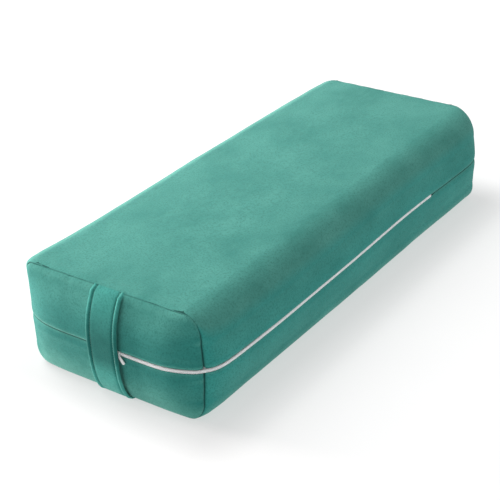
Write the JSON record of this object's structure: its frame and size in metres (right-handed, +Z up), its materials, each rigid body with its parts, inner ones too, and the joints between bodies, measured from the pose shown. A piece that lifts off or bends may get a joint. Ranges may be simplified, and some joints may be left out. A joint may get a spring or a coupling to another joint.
{
  "type": "yoga bolster",
  "caption": "Rectangular floor bolster with a zipped velvet cover, softly rounded long edges, domed end panels and a strap carry handle sewn down one end.",
  "frame": {"origin": "middle of the footprint of the whole bounding box, on the plane the bolster rests on", "axes": "+Z up; +Y along the length, away from the end with the carry handle; +X towards the long side that the zip runs along"},
  "size_m": [0.31, 0.768, 0.152],
  "materials": {
    "velvet": "short velvet nap, blue-green",
    "strap_velvet": "short velvet nap, blue-green, top-stitched",
    "zip_tape": "woven polyester tape, white",
    "zip_coil": "nylon coil, white",
    "zip_metal": "plain clamped metal",
    "slider_enamel": "white enamel, semi-gloss",
    "webbing": "woven cotton webbing",
    "case_cotton": "plain-woven cotton",
    "wadding": "fluffy polyester wadding",
    "foam": "open-cell foam block"
  },
  "bodies": {
    "bolster": {"cover_upper_wrap": "velvet", "cover_lower_wrap": "velvet", "front_panel_upper": "velvet", "front_panel_lower": "velvet", "rear_panel_upper": "velvet", "rear_panel_lower": "velvet", "zip_tape_upper": "zip_tape", "zip_tape_lower": "zip_tape", "zip_coil_upper": "zip_coil", "zip_coil_lower": "zip_coil", "zip_top_stops": "zip_metal", "zip_bottom_stop": "zip_metal", "handle_sleeve_top": "strap_velvet", "handle_sleeve_bottom": "strap_velvet", "handle_webbing_top": "webbing", "handle_webbing_bottom": "webbing", "case_tube": "case_cotton", "case_front_end": "case_cotton", "case_rear_end": "case_cotton", "wadding_wrap": "wadding", "wadding_front_pad": "wadding", "wadding_rear_pad": "wadding", "foam_core": "foam"},
    "slider": {"zip_slider": "slider_enamel"},
    "pull_tab": {"zip_pull_tab": "slider_enamel"},
    "grip": {"handle_sleeve_grip": "strap_velvet", "handle_webbing_grip": "webbing"}
  },
  "joints": [
    {"name": "handle_lift", "type": "slide", "parent": "bolster", "child": "grip", "axis": [0, -1, 0], "range_m": [0, 0.025]},
    {"name": "zip_travel", "type": "slide", "parent": "bolster", "child": "slider", "axis": [1, 0, 0], "range_m": [0, 0.045]},
    {"name": "pull_swing", "type": "hinge", "parent": "slider", "child": "pull_tab", "pos_m": [0.0248, -0.3778, 0.076], "axis": [0, -1, 0], "range_deg": [-42, 48]}
  ]
}
